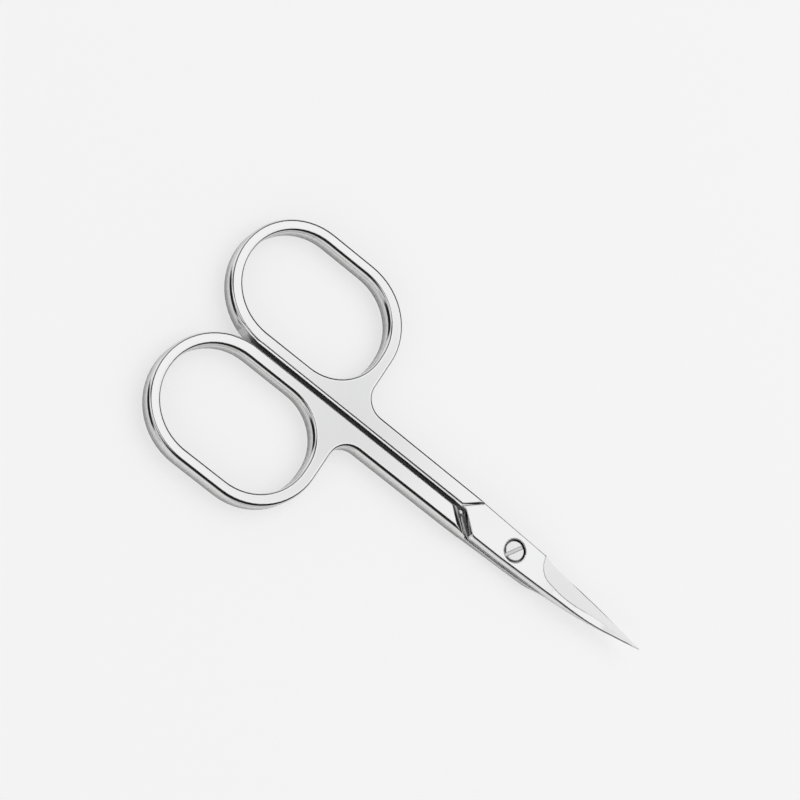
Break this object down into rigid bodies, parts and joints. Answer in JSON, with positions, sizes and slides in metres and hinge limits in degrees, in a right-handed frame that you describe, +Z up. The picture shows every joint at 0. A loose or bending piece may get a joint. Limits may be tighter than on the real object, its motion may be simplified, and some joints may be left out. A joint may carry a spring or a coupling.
{
  "type": "manicure scissors",
  "caption": "Slim polished manicure scissors with rounded finger rings, straight shanks, short pointed hollow-ground blades that bow upwards and a slotted pivot screw.",
  "frame": {"origin": "under the middle of the closed scissors, on the surface that they lie on", "axes": "+X towards the blade tips, +Z up out of the front face, +Y towards the front half's finger ring"},
  "size_m": [0.09, 0.046, 0.0036],
  "materials": {
    "front_steel": "mirror polished faces, finely brushed side walls",
    "rear_steel": "mirror polished faces, finely brushed side walls",
    "screw_steel": "polished"
  },
  "bodies": {
    "rear": {"rear_half": "rear_steel", "pivot_screw": "screw_steel"},
    "front": {"front_half": "front_steel"}
  },
  "joints": [
    {"name": "blade_pivot", "type": "hinge", "parent": "rear", "child": "front", "pos_m": [0.01878, 0, 0.0018], "axis": [0, 0, -1], "range_deg": [0, 50]}
  ]
}
